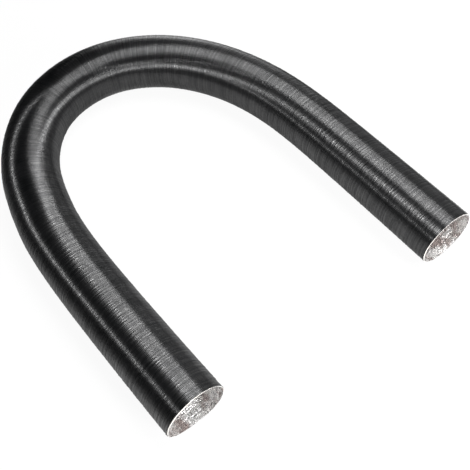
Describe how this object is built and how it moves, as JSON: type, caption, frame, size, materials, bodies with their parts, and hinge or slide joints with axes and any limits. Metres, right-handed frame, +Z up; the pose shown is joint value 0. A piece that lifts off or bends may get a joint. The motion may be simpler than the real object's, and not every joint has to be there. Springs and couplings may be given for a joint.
{
  "type": "flexible air duct",
  "caption": "Ribbed flexible hot-air duct of foil, paper and film plies, bent in a U, open at both cut ends for 60 mm spigots.",
  "frame": {"origin": "on the floor under the middle of the duct's box, as it lies in its U", "axes": "+Z up; +Y towards the closed bend, so that both open ends face -Y; +X towards the far leg"},
  "size_m": [0.3665, 0.4717, 0.062],
  "materials": {
    "black_film": "glossy black film, finely ribbed",
    "kraft_paper": "uncoated kraft paper",
    "aluminium_foil": "crinkled bright foil"
  },
  "bodies": {
    "root": {"outer_jacket": "black_film", "paper_core": "kraft_paper", "foil_liner": "aluminium_foil"}
  },
  "joints": []
}
